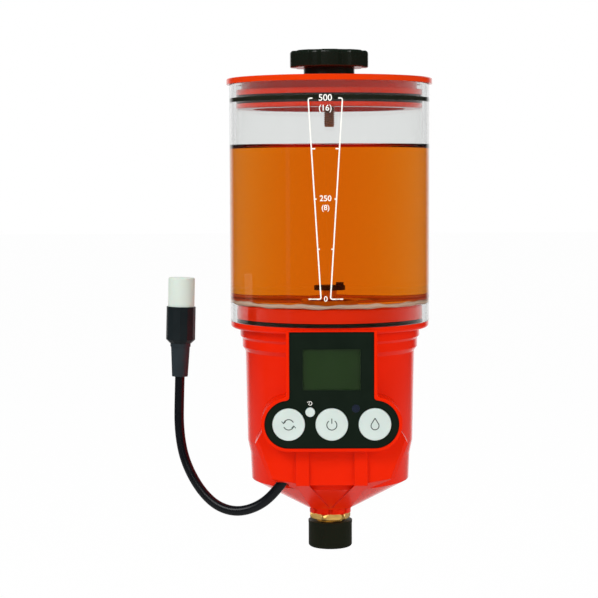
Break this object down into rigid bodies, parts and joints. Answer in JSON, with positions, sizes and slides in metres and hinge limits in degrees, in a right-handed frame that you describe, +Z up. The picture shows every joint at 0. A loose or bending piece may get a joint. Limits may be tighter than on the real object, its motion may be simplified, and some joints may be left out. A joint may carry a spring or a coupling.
{
  "type": "automatic lubricator",
  "caption": "Automatic oil lubricator with a clear refillable reservoir, red pump housing with display and keypad, outlet nipple and supply cable.",
  "frame": {"origin": "on the outlet's axis, at the shoulder under the outlet hexagon, where the thread begins", "axes": "+Z up along the reservoir's axis, -Y towards the display and keys, +X to the right seen from the front"},
  "size_m": [0.122, 0.0944, 0.23],
  "materials": {
    "red_plastic": "glossy",
    "clear_plastic": "clear, polished",
    "oil": "clear liquid",
    "black_rubber": "matte",
    "black_plastic": "satin",
    "knob_plastic": "satin gloss",
    "brass": "turned",
    "panel_black": "satin",
    "display_glass": "gloss",
    "display_green": "satin",
    "board_green": "satin",
    "steel": "machined",
    "key_white": "matte, slightly translucent",
    "switch_black": "matte",
    "led_blue": "gloss",
    "pump_metal": "machined",
    "gear_plastic": "satin",
    "feed_hose": "satin",
    "cable_jacket": "satin",
    "plug_black": "satin",
    "plug_white": "satin",
    "dark_metal": "dark"
  },
  "bodies": {
    "housing": {"outlet_nipple": "brass", "housing": "red_plastic", "panel": "panel_black", "display_window": "display_glass", "display_module": "display_green", "circuit_board": "board_green", "board_screws": "steel", "key_switches": "switch_black", "led_lens": "led_blue", "reservoir_base": "red_plastic", "base_seal": "black_rubber", "reservoir_tube": "clear_plastic", "inlet_fitting": "dark_metal", "strainer": "dark_metal", "oil_fill": "oil", "pump_block": "pump_metal", "motor_plate": "steel", "plate_posts": "steel", "plate_screws": "steel", "motor_screws": "steel", "gear_motor": "steel", "check_spring": "steel", "feed_tube": "feed_hose", "supply_cable": "cable_jacket", "cable_grommet": "cable_jacket", "cable_boot": "cable_jacket", "plug_grip": "plug_black", "plug_shell": "plug_white", "plug_contacts": "brass"},
    "lid": {"lid": "red_plastic", "lid_ring": "black_rubber"},
    "knob_carrier": {"knob_washer": "black_rubber"},
    "knob": {"knob": "knob_plastic", "knob_stud": "brass"},
    "outlet_cap": {"outlet_cap": "black_rubber"},
    "mode_button": {"mode_button": "key_white"},
    "power_button": {"power_button": "key_white"},
    "test_button": {"test_button": "key_white"},
    "reset_button": {"reset_button": "key_white"},
    "plunger": {"plunger": "steel"},
    "drive_gear": {"drive_gear": "gear_plastic"},
    "motor_pinion": {"motor_pinion": "brass", "motor_shaft": "steel"},
    "check_ball": {"check_ball": "steel"}
  },
  "joints": [
    {"name": "lid_lift", "type": "slide", "parent": "housing", "child": "lid", "axis": [0, 0, 1], "range_m": [0, 0.04]},
    {"name": "knob_rise", "type": "slide", "parent": "lid", "child": "knob_carrier", "axis": [0, 0, 1], "range_m": [0, 0.004]},
    {"name": "knob_turn", "type": "hinge", "parent": "knob_carrier", "child": "knob", "pos_m": [0, 0, 0.212], "axis": [0, 0, 1], "range_deg": [0, 1800]},
    {"name": "outlet_cap_pull", "type": "slide", "parent": "housing", "child": "outlet_cap", "axis": [0, 0, -1], "range_m": [0, 0.014]},
    {"name": "mode_button_press", "type": "slide", "parent": "housing", "child": "mode_button", "axis": [0, 1, 0], "range_m": [0, 0.0008], "stiffness_N_per_m": 1500},
    {"name": "power_button_press", "type": "slide", "parent": "housing", "child": "power_button", "axis": [0, 1, 0], "range_m": [0, 0.0008], "stiffness_N_per_m": 1500},
    {"name": "test_button_press", "type": "slide", "parent": "housing", "child": "test_button", "axis": [0, 1, 0], "range_m": [0, 0.0008], "stiffness_N_per_m": 1500},
    {"name": "reset_button_press", "type": "slide", "parent": "housing", "child": "reset_button", "axis": [0, 1, 0], "range_m": [0, 0.0008], "stiffness_N_per_m": 800},
    {"name": "gear_turn", "type": "hinge", "parent": "housing", "child": "drive_gear", "pos_m": [0, 0, 0.0451], "axis": [0, 0, 1], "range_deg": [0, 1440]},
    {"name": "pinion_turn", "type": "hinge", "parent": "housing", "child": "motor_pinion", "pos_m": [0.0216, 0, 0.0451], "axis": [0, 0, 1], "range_deg": [-4500, 0]},
    {"name": "plunger_stroke", "type": "slide", "parent": "housing", "child": "plunger", "axis": [0, 0, -1], "range_m": [0, 0.008]},
    {"name": "check_lift", "type": "slide", "parent": "housing", "child": "check_ball", "axis": [0, 0, -1], "range_m": [0, 0.0012], "stiffness_N_per_m": 100, "deforming": ["check_spring"]}
  ],
  "couplings": [
    {"joint": "knob_rise", "follows": "knob_turn", "m_per_rad": 0.00012732},
    {"joint": "pinion_turn", "follows": "gear_turn", "ratio": -3},
    {"joint": "plunger_stroke", "follows": "gear_turn", "m_per_rad": 0.0003183}
  ]
}
